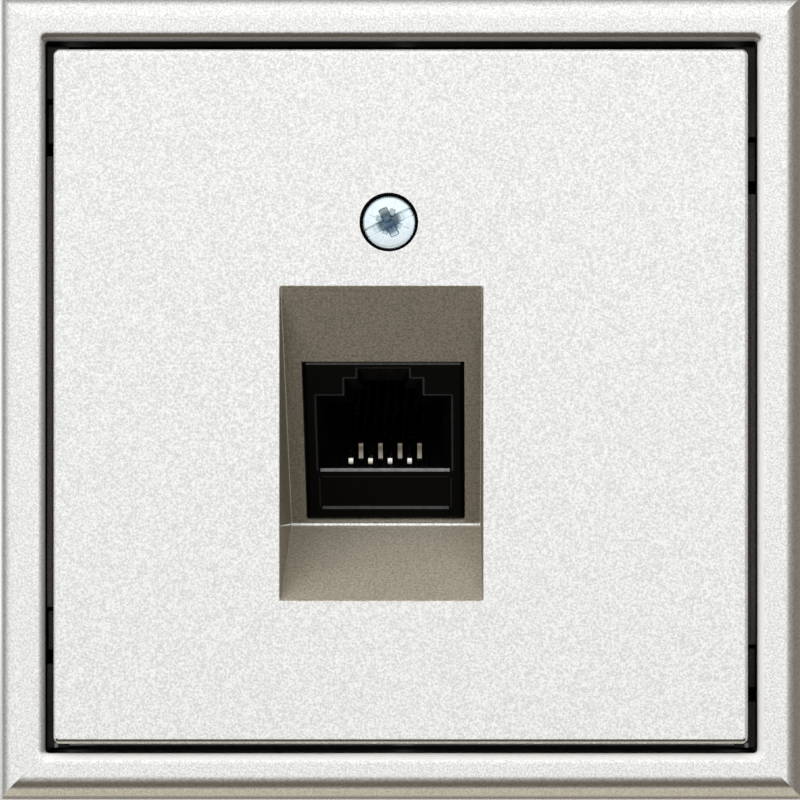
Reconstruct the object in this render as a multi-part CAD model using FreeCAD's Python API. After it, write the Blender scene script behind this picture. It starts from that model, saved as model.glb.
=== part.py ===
import FreeCAD
import Part
import math
import os

os.makedirs("parts", exist_ok=True)
V = FreeCAD.Vector

# A flush wall outlet for one network plug: a square cover frame, a centre plate with a slanted
# recess, a steel support ring, and a clip-in jack module that looks out of the recess.
# The bench frame has x to the right, y up and z out of the wall. The wall's surface is z = 0
# and the middle of the centre plate is on the z axis. All sizes are millimetres and degrees.

# Cover frame: a square surround, hollow at the back, with a rounded outer edge
frame_side = 81.5
frame_height = 9.0
frame_border = 4.65
frame_edge_round = 2.6
frame_corner_round = 0.6
frame_skirt = 1.6
frame_front = 1.8
window_corner_round = 0.4
window_lip_round = 1.0
window_wall = 1.3
window_wall_depth = 5.3
frame_rib = 1.0
frame_rib_pitch = 13.0
frame_ribs_per_side = 6

# Base frame: the black under-frame on the wall, with a ledge beside each upright gap and snap clips
base_clearance = 0.2
base_foot_height = 2.2
ledge_drop = 2.0
rail_clearance = 0.1
rail_web = 1.3
ledge_reach = 2.1
ledge_thickness = 1.2
clip_pitch = 51.6
clip_middle_left = -0.6
clip_middle_right = -4.45
clip_length = 4.0
clip_notch = 1.4
clip_slit = 0.4
clip_drop = 0.9
clip_nose = 0.6
clip_nose_height = 1.0
clip_nose_above = 0.5
clip_play = 0.2

# Centre plate: a shallow square cap with a slanted pocket moulded into it
plate_gap = 1.1
plate_rise = 1.0
plate_corner_round = 0.65
plate_edge_round = 0.6
plate_thickness = 2.0
plate_skirt = 1.4
plate_seat_clearance = 0.1
plate_rib = 1.0
plate_rib_depth = 1.2
plate_rib_offset = 24.0
recess_x = -1.93
recess_top = 11.10
recess_width = 20.43
recess_rim_height = 31.65
recess_tilt = 29.0
recess_draft = 1.0
recess_wall = 1.3
recess_rim_round = 0.2
recess_deep_round = 0.4
recess_side_round = 0.15

# Plate screw, its counterbored boss and the brass thread that it turns into
screw_x = -1.18
screw_y = 17.56
screw_head_diameter = 5.35
screw_head_height = 2.0
screw_head_bevel = 0.35
screw_head_inset = 0.1
screw_diameter = 2.9
screw_length = 11.0
screw_slot_width = 0.8
screw_slot_depth = 0.9
screw_cross_width = 0.75
screw_cross_span = 2.9
slot_turn = 25.0
screw_hole_diameter = 5.93
screw_hole_clearance = 0.25
screw_seat = 1.3
plate_boss_diameter = 9.0
insert_diameter = 4.6
insert_length = 4.6
insert_fit = 0.03
thread_clearance = 0.05
carrier_boss_diameter = 8.0

# Support ring: a punched steel plate on the wall with curved slots for the box screws
ring_gap = 0.6
ring_thickness = 1.2
ring_corner_round = 4.0
ring_clearance = 0.3
slot_width = 3.8
slot_edge = 3.6
slot_web = 2.6
slot_sweep = 20.0
corner_hole_diameter = 3.4
corner_hole_inset = 7.0
level_notch = 1.2

# Module carrier: a moulded flange on the ring with a slanted seat for the jack module
carrier_width = 52.0
carrier_height = 46.0
carrier_y = 0.5
carrier_corner_round = 4.0
carrier_flange = 1.6
carrier_wall = 1.5
carrier_pocket_clearance = 0.4
carrier_seat_wall = 1.6
carrier_seat_depth = 3.0
carrier_head_room = 1.8
carrier_top_margin = 2.8
carrier_guide = 1.4
carrier_guide_length = 4.4
carrier_screw_inset_x = 3.2
carrier_screw_inset_y = 4.5
carrier_screw_diameter = 2.4
carrier_screw_head_diameter = 4.4
carrier_screw_head_height = 1.6
carrier_screw_clearance = 0.1

# Jack module: black housing with a bevelled face, a stepped plug opening and a bare label panel
jack_slope_offset = 17.9
jack_width = 16.4
jack_height = 18.6
jack_inset = 0.3
jack_face_bevel = 0.35
jack_opening_clearance = 0.12
jack_body_width = 14.9
jack_body_height = 16.4
jack_body_length = 16.0
jack_seat_clearance = 0.1
label_width = 13.7
label_height = 3.7
label_middle = -6.05
label_depth = 0.25
latch_width = 6.4
latch_gap = 0.8
latch_thickness = 1.0
latch_root = 1.6
latch_play = 0.1
hook_width = 8.0
hook_height = 0.8
hook_length = 1.3

# Plug opening: main width, floor, ceiling and the two latch steps, at the face and in the cavity
mouth_width = 14.05
mouth_floor = -3.37
mouth_ceiling = 5.40
mouth_wide_step = 8.2
mouth_wide_top = 7.38
mouth_narrow_step = 5.43
mouth_narrow_top = 8.52
cavity_width = 11.98
cavity_floor = -3.22
cavity_ceiling = 3.64
cavity_wide_step = 6.4
cavity_wide_top = 5.24
cavity_narrow_step = 4.1
cavity_narrow_top = 6.19
mouth_flare_depth = 1.8
latch_channel_depth = 12.0

# Spring contacts, the holder that spaces them, and the board that they are soldered to
contact_count = 8
contact_pitch = 1.02
contact_width = 0.46
contact_thickness = 0.30
contact_bend = 0.42
contact_bow_near = 1.25
contact_bow_far = 2.15
contact_rise_near = 0.75
contact_rise_far = 1.9
contact_lean_near = 0.0
contact_lean_far = 0.45
contact_tip_depth = 12.7
contact_tip_height = 4.5
contact_seat_clearance = 0.08
holder_tray_width = 9.2
holder_tray_thickness = 1.5
holder_front = 1.0
holder_wall_front = 12.2
holder_slot_depth = 1.2
holder_slot_height = 5.6
holder_clearance = 0.1
board_width = 14.2
board_height = 15.6
board_thickness = 0.9
board_gap = 0.1

# Terminal block with two rows of wire slots, its forked blades, and the cap that presses the wires in
block_base = 1.1
block_clip_width = 5.0
block_clip_thickness = 0.9
block_clip_reach = 5.0
tower_inner = 3.95
tower_outer = 7.45
tower_length = 15.6
tower_height = 6.2
wire_slot_width = 1.25
wire_slot_depth = 4.7
wire_slots_per_row = 4
wire_slot_pitch = 3.8
blade_thickness = 0.45
blade_width = 2.2
blade_reach = 5.7
blade_fork_width = 0.36
blade_fork_depth = 3.2
blade_lead = 0.4
blade_tail_width = 0.7
blade_clearance = 0.06
cap_width = 15.9
cap_height = 16.9
cap_roof = 2.0
cap_skirt = 4.2
cap_clearance = 0.15
cap_corner_round = 0.8
cable_way = 6.8
cap_floor = 1.9
cap_notch_depth = 1.8

# Sizes, heights and places that follow from the driving dimensions. The slots' circle comes out
# at the 60 mm screw pitch of a round wall box.
window_side = frame_side - 2 * frame_border
plate_side = window_side - 2 * plate_gap
ring_side = window_side - 2 * ring_gap
slot_circle = ring_side - slot_width - 2 * slot_edge
ring_opening = slot_circle - slot_width - 2 * slot_web
corner_hole_pitch = ring_side - 2 * corner_hole_inset
rail_height = frame_height - ledge_drop
wall_low = frame_height - window_wall_depth
clip_nose_low = wall_low + clip_nose_above
plate_front = frame_height + plate_rise
plate_back = plate_front - plate_thickness
plate_seat = rail_height + plate_seat_clearance
carrier_front = ring_thickness + carrier_flange
slope_cos = math.cos(math.radians(recess_tilt))
slope_sin = math.sin(math.radians(recess_tilt))
slope_length = recess_rim_height * slope_cos
jack_y = recess_top - jack_slope_offset * slope_cos
jack_z = plate_front - jack_slope_offset * slope_sin
deep_line = jack_slope_offset - slope_length
body_rear = -jack_body_length
board_front = body_rear - board_gap
board_rear = board_front - board_thickness
block_rear = board_rear - block_base
tower_rear = block_rear - tower_height
tower_middle = (tower_inner + tower_outer) / 2


def outline(points, radii):
    """Closed wire through (x, y) points, with each corner rounded by a tangent arc of its radius."""
    corners = [V(x, y, 0) for x, y in points]
    befores = corners[-1:] + corners[:-1]
    afters = corners[1:] + corners[:1]
    entries = []
    exits = []
    arcs = []
    for before, corner, after, radius in zip(befores, corners, afters, radii):
        to_before = (before - corner).normalize()
        to_after = (after - corner).normalize()
        half_turn = to_before.getAngle(to_after) / 2
        reach = radius / math.tan(half_turn)
        entries.append(corner + to_before * reach)
        exits.append(corner + to_after * reach)
        if radius > 0:
            inward = (to_before + to_after).normalize()
            crown = corner + inward * (radius / math.sin(half_turn) - radius)
            arcs.append([Part.Arc(entries[-1], crown, exits[-1]).toShape()])
        else:
            arcs.append([])
    edges = []
    for arc, start, end in zip(arcs, exits, entries[1:] + entries[:1]):
        edges += arc
        if start.distanceToPoint(end) > 1e-6:
            edges.append(Part.LineSegment(start, end).toShape())
    return Part.Wire(edges)


def prism(points, radii, low, high):
    """Solid between z = low and z = high on a rounded outline."""
    solid = Part.Face(outline(points, radii)).extrude(V(0, 0, high - low))
    solid.translate(V(0, 0, low))
    return solid


def rectangle(left, right, bottom, top):
    return [(left, bottom), (right, bottom), (right, top), (left, top)]


def slab(left, right, bottom, top, low, high, corner=0.0):
    """Box between the given limits, with rounded upright corners."""
    return prism(rectangle(left, right, bottom, top), [corner] * 4, low, high)


def square(side, low, high, corner=0.0):
    return slab(-side / 2, side / 2, -side / 2, side / 2, low, high, corner)


def disc(diameter, low, high, x, y):
    return Part.makeCylinder(diameter / 2, high - low, V(x, y, low))


def across(points, radii, left, right):
    """Prism along x of an outline given as (y, z) points."""
    solid = prism(points, radii, left, right)
    solid.rotate(V(0, 0, 0), V(1, 1, 1), 120)
    return solid


def upright(points, bottom, top):
    """Prism along y of a sharp outline given as (x, z) points."""
    solid = prism(points, [0.0] * len(points), -top, -bottom)
    solid.rotate(V(0, 0, 0), V(1, 0, 0), 90)
    return solid


def turned(profile, x, y):
    """Solid of revolution of (radius, z) points about the upright line through x, y."""
    corners = [V(radius, 0, z) for radius, z in profile]
    solid = Part.Face(Part.makePolygon(corners + corners[:1])).revolve(V(0, 0, 0), V(0, 0, 1), 360)
    solid.translate(V(x, y, 0))
    return solid


def quarter_turns(shape):
    """The shape and its copies on the other three sides of the square."""
    copies = []
    for quarter in range(4):
        copy = shape.copy()
        copy.rotate(V(0, 0, 0), V(0, 0, 1), 90 * quarter)
        copies.append(copy)
    return copies


def on_side(shape, side):
    """The shape itself on the right (side 1), or its mirror image on the left (side -1)."""
    return shape if side > 0 else shape.mirror(V(0, 0, 0), V(1, 0, 0))


def on_slope(shape):
    """Moves a shape from the jack's own frame, with y up the slope and z out of it, to its place."""
    placed = shape.copy()
    placed.rotate(V(0, 0, 0), V(1, 0, 0), recess_tilt)
    placed.translate(V(recess_x, jack_y, jack_z))
    return placed


def single(shape):
    """The one solid that a chain of cuts and joins must leave."""
    (solid,) = shape.removeSplitter().Solids
    return solid


def edges_between(shape, low_corner, high_corner):
    """Edges whose ends all lie in a box."""
    margin = 1e-4
    box = FreeCAD.BoundBox(*low_corner, *high_corner)
    box.enlarge(margin)
    return [edge for edge in shape.Edges if all(box.isInside(v.Point) for v in edge.Vertexes)]


def clip_places():
    """Side (-1 left, 1 right) and the height of the notch below each snap clip."""
    middles = {-1: clip_middle_left, 1: clip_middle_right}
    return [(side, middles[side] + end * clip_pitch / 2) for side in (-1, 1) for end in (-1, 1)]


def cover_frame():
    half = frame_side / 2
    arch = rectangle(-half, half, 0, frame_height)
    bar = across(arch, [0, 0, frame_edge_round, frame_edge_round], -half, half)
    cross_bar = bar.copy()
    cross_bar.rotate(V(0, 0, 0), V(0, 0, 1), 90)
    body = bar.common(cross_bar).common(square(frame_side, 0, frame_height, frame_corner_round))
    body = body.cut(square(window_side, 0, frame_height, window_corner_round))
    lip = window_side / 2
    body = body.makeFillet(
        window_lip_round,
        edges_between(body, (-lip, -lip, frame_height), (lip, lip, frame_height)),
    )
    inner = window_side + 2 * window_wall
    outer = frame_side - 2 * frame_skirt
    channel_top = frame_height - frame_front
    channel = square(outer, 0, channel_top).cut(square(inner, 0, channel_top))
    body = body.cut(channel).cut(square(inner, 0, wall_low))
    ribs = []
    for index in range(frame_ribs_per_side):
        middle = (index - (frame_ribs_per_side - 1) / 2) * frame_rib_pitch
        near = middle - frame_rib / 2
        rib = slab(inner / 2, outer / 2, near, near + frame_rib, wall_low, channel_top)
        ribs += quarter_turns(rib)
    body = body.fuse(ribs)
    for side, notch in clip_places():
        low = notch + clip_notch / 2 - clip_play
        slot = slab(
            lip - window_lip_round,
            outer / 2,
            low,
            low + clip_length + 2 * clip_play,
            clip_nose_low - clip_play,
            clip_nose_low + clip_nose_height + clip_play,
        )
        body = body.cut(on_side(slot, side))
    return single(body)


def base_frame():
    outer = frame_side / 2 - frame_skirt - base_clearance
    inner = ring_side / 2 + ring_clearance
    rail_outer = window_side / 2 - rail_clearance
    rail_inner = rail_outer - rail_web
    ledge_inner = rail_outer - ledge_reach
    rail_low = ring_thickness + ring_clearance
    rail_end = rail_outer - window_corner_round
    foot = square(2 * outer, 0, base_foot_height).cut(square(2 * inner, 0, base_foot_height))
    rail = upright(
        [
            (rail_inner, rail_low),
            (outer, rail_low),
            (outer, base_foot_height),
            (rail_outer, base_foot_height),
            (rail_outer, rail_height),
            (ledge_inner, rail_height),
            (ledge_inner, rail_height - ledge_thickness),
            (rail_inner, rail_height - ledge_thickness),
        ],
        -rail_end,
        rail_end,
    )
    body = foot.fuse([on_side(rail, side) for side in (-1, 1)])
    for side, notch in clip_places():
        low = notch - clip_notch / 2
        high = notch + clip_notch / 2
        clip_high = high + clip_length
        openings = [
            slab(ledge_inner, rail_outer, low, high, base_foot_height, rail_height),
            slab(ledge_inner, rail_outer, clip_high, clip_high + clip_slit, base_foot_height, rail_height),
            slab(ledge_inner, rail_inner, low, clip_high, base_foot_height, rail_height),
            slab(rail_inner, rail_outer, high, clip_high, rail_height - clip_drop, rail_height),
        ]
        nose = upright(
            [
                (rail_outer - rail_web / 2, clip_nose_low),
                (rail_outer + clip_nose, clip_nose_low),
                (rail_outer + clip_nose / 2, clip_nose_low + clip_nose_height),
                (rail_outer - rail_web / 2, clip_nose_low + clip_nose_height),
            ],
            high,
            clip_high,
        )
        body = body.cut([on_side(opening, side) for opening in openings]).fuse(on_side(nose, side))
    return single(body)


def recess_wedge(grow):
    """The wedge of the slanted recess, with its two slopes and drafted sides moved out by grow."""
    deep_y = recess_top - slope_length * slope_cos - grow * (slope_cos - slope_sin)
    deep_z = plate_front - slope_length * slope_sin - grow * (slope_cos + slope_sin)
    upper = recess_top + grow / slope_sin
    lower = recess_top - recess_rim_height - grow / slope_cos
    half = recess_width / 2 + grow
    narrow = half - (plate_front - deep_z) * math.tan(math.radians(recess_draft))
    profile = [(upper, plate_front), (deep_y, deep_z), (lower, plate_front)]
    slopes = across(profile, [0.0] * 3, recess_x - half, recess_x + half)
    sides = [
        (recess_x - narrow, deep_z),
        (recess_x + narrow, deep_z),
        (recess_x + half, plate_front),
        (recess_x - half, plate_front),
    ]
    return slopes.common(upright(sides, lower, upper))


def jack_block(width, height, low, high):
    """Box about the jack's axis, in the jack's own frame."""
    return slab(-width / 2, width / 2, -height / 2, height / 2, low, high)


def centre_plate():
    half = plate_side / 2
    body = square(plate_side, plate_seat, plate_front, plate_corner_round)
    body = body.makeFillet(
        plate_edge_round,
        edges_between(body, (-half, -half, plate_front), (half, half, plate_front)),
    )
    hollow = square(plate_side - 2 * plate_skirt, plate_seat, plate_back)
    body = body.cut(hollow)
    ribs = []
    for offset in (-plate_rib_offset, plate_rib_offset):
        near = offset - plate_rib / 2
        far = offset + plate_rib / 2
        end = half - plate_skirt
        ribs.append(slab(near, far, -end, end, plate_back - plate_rib_depth, plate_back))
        ribs.append(slab(-end, end, near, far, plate_back - plate_rib_depth, plate_back))
    seat = plate_front - screw_head_inset - screw_head_height
    boss = disc(plate_boss_diameter, seat - screw_seat, plate_back, screw_x, screw_y)
    body = body.fuse(ribs + [boss, recess_wedge(recess_wall)])
    pocket = recess_wedge(0.0)
    deep = plate_front - slope_length * slope_sin
    deep_edge = edges_between(pocket, (-plate_side, -plate_side, deep), (plate_side, plate_side, deep))
    pocket = pocket.makeFillet(recess_deep_round, deep_edge)
    side_edges = []
    for edge in pocket.Edges:
        box = edge.BoundBox
        if box.XLength < recess_width / 2 and box.ZMin < plate_front - recess_side_round:
            side_edges.append(edge)
    body = body.cut(pocket.makeFillet(recess_side_round, side_edges))
    rim_low = (recess_x - recess_width / 2, recess_top - recess_rim_height, plate_front)
    rim_high = (recess_x + recess_width / 2, recess_top, plate_front)
    body = body.makeFillet(recess_rim_round, edges_between(body, rim_low, rim_high))
    opening = jack_block(
        jack_width + 2 * jack_opening_clearance,
        jack_height + 2 * jack_opening_clearance,
        -carrier_seat_depth,
        jack_inset,
    )
    body = body.cut(on_slope(opening))
    body = body.cut(disc(screw_hole_diameter, seat, plate_front, screw_x, screw_y))
    shank_hole = screw_diameter + 2 * screw_hole_clearance
    return single(body.cut(disc(shank_hole, seat - screw_seat, seat, screw_x, screw_y)))


def plate_screw():
    top = plate_front - screw_head_inset
    seat = top - screw_head_height
    head = screw_head_diameter / 2
    shank = screw_diameter / 2
    tip = seat - screw_length
    profile = [(0, tip), (shank / 2, tip), (shank, tip + shank / 2), (shank, seat), (head, seat)]
    profile += [(head, top - screw_head_bevel), (head - screw_head_bevel, top), (0, top)]
    body = turned(profile, 0, 0)
    floor = top - screw_slot_depth
    slot = slab(-head, head, -screw_slot_width / 2, screw_slot_width / 2, floor, top)
    span = screw_cross_span / 2
    width = screw_cross_width / 2
    cross = slab(-width, width, -span, span, floor - screw_slot_depth / 2, top)
    body = body.cut([slot, cross])
    body.rotate(V(0, 0, 0), V(0, 0, 1), slot_turn)
    body.translate(V(screw_x, screw_y, 0))
    return single(body)


def carrier_boss_top():
    return plate_front - screw_head_inset - screw_head_height - screw_seat - plate_seat_clearance


def thread_insert():
    top = carrier_boss_top()
    low = top - insert_length
    outer = insert_diameter / 2
    bore = screw_diameter / 2 + thread_clearance
    profile = [(bore, low), (outer, low), (outer, top), (bore, top)]
    return single(turned(profile, screw_x, screw_y))


def support_ring():
    body = square(ring_side, 0, ring_thickness, ring_corner_round)
    body = body.cut(disc(ring_opening, 0, ring_thickness, 0, 0))
    radius = slot_circle / 2
    near = radius - slot_width / 2
    far = radius + slot_width / 2
    face = Part.Face(Part.makePolygon([V(near, 0, 0), V(far, 0, 0), V(far, 0, ring_thickness),
                                       V(near, 0, ring_thickness), V(near, 0, 0)]))
    slot = face.revolve(V(0, 0, 0), V(0, 0, 1), slot_sweep)
    slot.rotate(V(0, 0, 0), V(0, 0, 1), -slot_sweep / 2)
    cuts = [slot]
    for end in (-slot_sweep / 2, slot_sweep / 2):
        x = radius * math.cos(math.radians(end))
        y = radius * math.sin(math.radians(end))
        cuts.append(disc(slot_width, 0, ring_thickness, x, y))
    edge = ring_side / 2
    notch = [(edge, -level_notch), (edge, level_notch), (edge - level_notch, 0)]
    cuts.append(prism(notch, [0.0] * 3, 0, ring_thickness))
    reach = corner_hole_pitch / 2
    cuts.append(disc(corner_hole_diameter, 0, ring_thickness, reach, reach))
    for cut in cuts:
        body = body.cut(quarter_turns(cut))
    holes = [disc(carrier_screw_diameter + 2 * carrier_screw_clearance, 0, ring_thickness, x, y)
             for x, y in carrier_screw_places()]
    return single(body.cut(holes))


def carrier_screw_places():
    x = carrier_width / 2 - carrier_screw_inset_x
    y = carrier_height / 2 - carrier_screw_inset_y
    return [(-x, carrier_y + y), (x, carrier_y - y)]


def module_carrier():
    half = carrier_width / 2
    low_y = carrier_y - carrier_height / 2
    high_y = carrier_y + carrier_height / 2
    flange = slab(-half, half, low_y, high_y, ring_thickness, carrier_front, carrier_corner_round)
    room = recess_width / 2 + recess_wall + carrier_pocket_clearance
    floor = deep_line - recess_wall - carrier_pocket_clearance
    seat_top = jack_body_height / 2 + carrier_top_margin
    front = recess_rim_height
    seat_front = -carrier_seat_depth
    seat_rear = seat_front - carrier_seat_wall
    space = slab(-room, room, floor, front, seat_front, front)
    shell = slab(-room - carrier_wall, room + carrier_wall, floor - carrier_wall, seat_top, seat_rear, front)
    shell = on_slope(shell.cut(space))
    reach = frame_side
    shell = shell.common(square(reach, -reach, carrier_front + carrier_head_room))
    latch_room = jack_body_height / 2 + latch_gap + latch_thickness + jack_opening_clearance
    module_half = jack_body_width / 2 + carrier_guide
    behind = slab(-module_half, module_half, floor, latch_room, body_rear, seat_rear)
    flange = flange.cut([on_slope(space), on_slope(behind)])
    near = jack_body_width / 2 + jack_seat_clearance
    guide_half = jack_body_height / 2 - carrier_guide
    guide_rear = seat_rear - carrier_guide_length
    guide = slab(near, near + carrier_guide, -guide_half, guide_half, guide_rear, seat_rear)
    guides = [on_slope(on_side(guide, side)) for side in (-1, 1)]
    boss = disc(carrier_boss_diameter, ring_thickness, carrier_boss_top(), screw_x, screw_y)
    body = flange.fuse([shell, boss] + guides)
    opening = jack_block(
        jack_body_width + 2 * jack_seat_clearance,
        jack_body_height + 2 * jack_seat_clearance,
        seat_rear,
        seat_front,
    )
    insert_low = carrier_boss_top() - insert_length
    cuts = [
        on_slope(opening),
        disc(insert_diameter + 2 * insert_fit, insert_low, carrier_boss_top(), screw_x, screw_y),
        disc(screw_diameter + 2 * screw_hole_clearance, 0, carrier_boss_top(), screw_x, screw_y),
    ]
    hole = carrier_screw_diameter + 2 * carrier_screw_clearance
    cuts += [disc(hole, ring_thickness, carrier_front, x, y) for x, y in carrier_screw_places()]
    return single(body.cut(cuts))


def carrier_screws():
    head = carrier_screw_head_diameter / 2
    shank = carrier_screw_diameter / 2
    top = carrier_front + carrier_screw_head_height
    shoulder = top - carrier_screw_head_height / 2
    profile = [(0, 0), (shank, 0), (shank, carrier_front), (head, carrier_front), (head, shoulder)]
    profile += [(head - carrier_screw_head_height / 2, top), (0, top)]
    screw = single(turned(profile, 0, 0))
    screws = []
    for x, y in carrier_screw_places():
        copy = screw.copy()
        copy.translate(V(x, y, 0))
        screws.append(copy)
    return Part.makeCompound(screws)


def port(width, floor, ceiling, wide, wide_top, narrow, narrow_top):
    """Stepped outline of a plug opening, with its two latch steps above the ceiling."""
    right = [
        (width / 2, floor),
        (width / 2, ceiling),
        (wide / 2, ceiling),
        (wide / 2, wide_top),
        (narrow / 2, wide_top),
        (narrow / 2, narrow_top),
    ]
    return right + [(-x, y) for x, y in reversed(right)]


def cavity_port():
    return port(cavity_width, cavity_floor, cavity_ceiling, cavity_wide_step, cavity_wide_top,
                cavity_narrow_step, cavity_narrow_top)


def raised_wire(points, z):
    corners = [V(x, y, z) for x, y in points]
    return Part.makePolygon(corners + corners[:1])


def jack_housing():
    face = -jack_inset
    seat = -carrier_seat_depth
    bezel = jack_block(jack_width, jack_height, seat, face)
    width = jack_width / 2
    height = jack_height / 2
    bezel = bezel.makeChamfer(
        jack_face_bevel, edges_between(bezel, (-width, -height, face), (width, height, face))
    )
    body = bezel.fuse(jack_block(jack_body_width, jack_body_height, body_rear, seat))
    mouth = port(mouth_width, mouth_floor, mouth_ceiling, mouth_wide_step, mouth_wide_top,
                 mouth_narrow_step, mouth_narrow_top)
    throat = face - mouth_flare_depth
    flare = Part.makeLoft([raised_wire(mouth, face), raised_wire(cavity_port(), throat)], True, True)
    channel = prism(cavity_port(), [0.0] * 12, -latch_channel_depth, throat)
    bay = slab(-cavity_width / 2, cavity_width / 2, cavity_floor, cavity_ceiling, body_rear, throat)
    tray_half = holder_tray_width / 2 + holder_clearance
    tray_low = cavity_floor - holder_tray_thickness - holder_clearance
    tray = slab(-tray_half, tray_half, tray_low, cavity_floor, body_rear, holder_clearance - holder_front)
    label = slab(-label_width / 2, label_width / 2, label_middle - label_height / 2,
                 label_middle + label_height / 2, face - label_depth, face)
    body = body.cut([flare, channel, bay, tray, label])
    top = jack_body_height / 2
    catch = seat - carrier_seat_wall - latch_play
    arm_low = top + latch_gap
    arm_high = arm_low + latch_thickness
    arm_rear = body_rear + latch_root
    latch = across(
        [
            (top, body_rear),
            (arm_high, body_rear),
            (arm_high, catch),
            (arm_low, catch),
            (arm_low, arm_rear),
            (top, arm_rear),
        ],
        [0, latch_gap, 0, 0, latch_gap / 2, latch_gap / 4],
        -latch_width / 2,
        latch_width / 2,
    )
    hook = across(
        [(-top, catch), (-top - hook_height, catch), (-top, catch - hook_length)],
        [0.0] * 3,
        -hook_width / 2,
        hook_width / 2,
    )
    return single(on_slope(body.fuse([latch, hook])))


def contact_places():
    return [(index - (contact_count - 1) / 2) * contact_pitch for index in range(contact_count)]


def contact_run():
    """Height of the middle of the contacts' straight runs in the holder's grooves."""
    return cavity_floor - contact_thickness / 2 - contact_seat_clearance


def offset_path(points, distance):
    """Open path moved sideways by a distance, to the left of its direction, with mitred corners."""
    runs = [(V(*end, 0) - V(*start, 0)).normalize() for start, end in zip(points, points[1:])]
    normals = [V(-run.y, run.x, 0) for run in runs]
    moved = []
    for point, before, after in zip(points, normals[:1] + normals, normals + normals[-1:]):
        mean = (before + after).normalize()
        shift = mean * (distance / mean.dot(after))
        moved.append((point[0] + shift.x, point[1] + shift.y))
    return moved


def spring_contact(index):
    """A bent strip: a straight run from the board, a bow near the mouth and a rising free arm."""
    run = contact_run()
    near = (contact_bow_near, contact_rise_near, contact_lean_near)
    far = (contact_bow_far, contact_rise_far, contact_lean_far)
    bow, rise, lean = (near, far)[index % 2]
    path = [
        (run, board_rear),
        (run, -bow),
        (run + rise, -bow - lean),
        (cavity_floor + contact_tip_height, -contact_tip_depth),
    ]
    half = contact_thickness / 2
    bends = [0.0, contact_bend, contact_bend, 0.0]
    inner = offset_path(path, -half)
    outer = offset_path(path, half)
    inner_bends = [bend - half if bend else 0.0 for bend in bends]
    outer_bends = [bend + half if bend else 0.0 for bend in bends]
    x = contact_places()[index]
    strip = across(outer + inner[::-1], outer_bends + inner_bends[::-1],
                   x - contact_width / 2, x + contact_width / 2)
    return single(on_slope(strip))


def contact_holder():
    tray_low = cavity_floor - holder_tray_thickness
    rear = body_rear + holder_clearance
    tray = slab(-holder_tray_width / 2, holder_tray_width / 2, tray_low, cavity_floor, rear, -holder_front)
    wall_half = cavity_width / 2 - holder_clearance
    wall_top = cavity_ceiling - holder_clearance
    wall = slab(-wall_half, wall_half, cavity_floor, wall_top, rear, -holder_wall_front)
    body = tray.fuse(wall)
    half = contact_width / 2 + contact_seat_clearance
    run = contact_run()
    groove_low = run - contact_thickness / 2 - contact_seat_clearance
    cuts = []
    for x in contact_places():
        cuts.append(slab(x - half, x + half, groove_low, cavity_floor, rear, -holder_front))
        slot_rear = -holder_wall_front - holder_slot_depth
        cuts.append(slab(x - half, x + half, cavity_floor, cavity_floor + holder_slot_height,
                         slot_rear, -holder_wall_front))
    return single(on_slope(body.cut(cuts)))


def blade_places():
    """Row (-1 left, 1 right) and height of each wire slot."""
    middle = (wire_slots_per_row - 1) / 2
    heights = [(index - middle) * wire_slot_pitch for index in range(wire_slots_per_row)]
    return [(row, height) for row in (-1, 1) for height in heights]


def circuit_board():
    body = jack_block(board_width, board_height, board_rear, board_front)
    cuts = []
    half = contact_width / 2 + contact_seat_clearance
    deep = contact_thickness / 2 + contact_seat_clearance
    run = contact_run()
    for x in contact_places():
        cuts.append(slab(x - half, x + half, run - deep, run + deep, board_rear, board_front))
    tail_half = blade_tail_width / 2 + blade_clearance
    thick_half = blade_thickness / 2 + blade_clearance
    for row, height in blade_places():
        x = row * tower_middle
        cuts.append(slab(x - thick_half, x + thick_half, height - tail_half, height + tail_half,
                         board_rear, board_front))
    return single(on_slope(body.cut(cuts)))


def idc_blade(row, height):
    """A forked blade: a tail in the board, a shoulder, and two tines with a tapered lead between them."""
    half = blade_width / 2
    slit = blade_fork_width / 2
    tail = blade_tail_width / 2
    tip = board_rear - blade_reach
    root = tip + blade_fork_depth
    right = [
        (tail, board_front - blade_clearance),
        (tail, board_rear),
        (half, board_rear - blade_clearance),
        (half, tip),
        (slit + blade_lead, tip),
        (slit, tip + 2 * blade_lead),
        (slit, root),
    ]
    points = [(height + y, z) for y, z in right] + [(height - y, z) for y, z in reversed(right)]
    x = row * tower_middle
    blade = across(points, [0.0] * len(points), x - blade_thickness / 2, x + blade_thickness / 2)
    return single(on_slope(blade))


def terminal_block():
    base = jack_body_height / 2
    body = slab(-tower_outer, tower_outer, -base, base, block_rear, board_rear)
    clip_near = jack_body_width / 2 + jack_seat_clearance
    clip_far = clip_near + block_clip_thickness
    clip_half = block_clip_width / 2
    tower_half = tower_length / 2
    raised = [
        slab(tower_inner, tower_outer, -tower_half, tower_half, tower_rear, block_rear),
        slab(clip_near, clip_far, -clip_half, clip_half, block_rear, body_rear + block_clip_reach),
        slab(tower_inner, clip_far, -clip_half, clip_half, block_rear, board_rear),
    ]
    body = body.fuse([on_side(shape, row) for row in (-1, 1) for shape in raised])
    wire = wire_slot_width / 2
    thick = blade_thickness / 2 + blade_clearance
    wide = blade_width / 2 + blade_clearance
    blade_end = board_rear - blade_reach - blade_clearance
    left = tower_middle - thick
    right = tower_middle + thick
    slot_floor = tower_rear + wire_slot_depth
    for row, height in blade_places():
        slots = [
            slab(tower_inner, tower_outer, height - wire, height + wire, tower_rear, slot_floor),
            slab(left, right, height - wide, height + wide, blade_end, board_rear),
        ]
        body = body.cut([on_side(slot, row) for slot in slots])
    return single(on_slope(body))


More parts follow.
